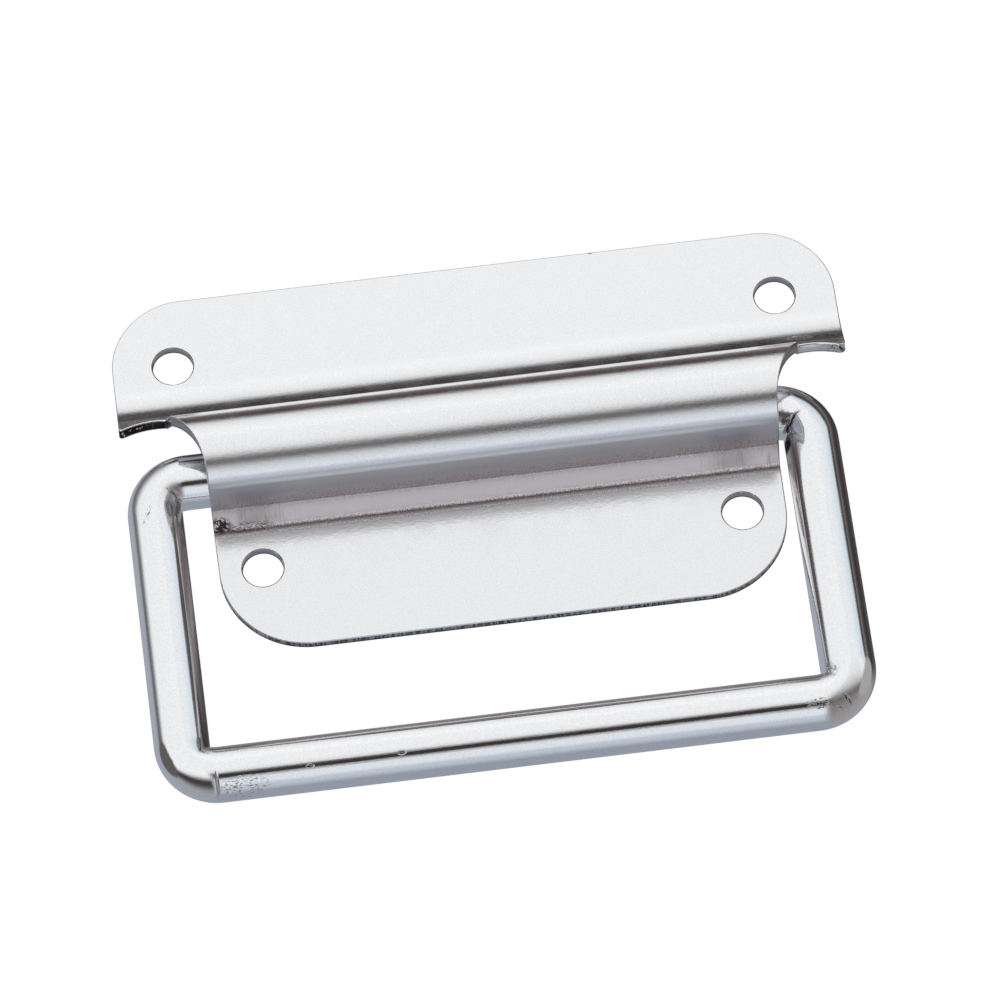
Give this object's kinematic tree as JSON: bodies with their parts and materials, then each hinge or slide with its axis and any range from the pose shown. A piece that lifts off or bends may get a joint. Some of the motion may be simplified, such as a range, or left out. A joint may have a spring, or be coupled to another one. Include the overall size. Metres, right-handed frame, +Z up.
{
  "type": "drop handle",
  "caption": "Stamped sheet-steel drop handle for a box or chest: a humped mounting plate that carries a swinging bail bent from round rod.",
  "frame": {"origin": "on the wall face, midway between the two upper screws", "axes": "+Z up as it hangs, +Y into the wall, +X to the right seen from the front"},
  "size_m": [0.1043, 0.0146, 0.0804],
  "materials": {
    "plated_sheet": "zinc plated, smooth satin with fine grain",
    "plated_rod": "zinc plated, bright with die marks and nicks"
  },
  "bodies": {
    "plate": {"mounting_plate": "plated_sheet"},
    "bail": {"handle_bail": "plated_rod"}
  },
  "joints": [
    {"name": "bail_swing", "type": "hinge", "parent": "plate", "child": "bail", "pos_m": [0, -0.00395, -0.02015], "axis": [-1, 0, 0], "range_deg": [0, 90]}
  ]
}
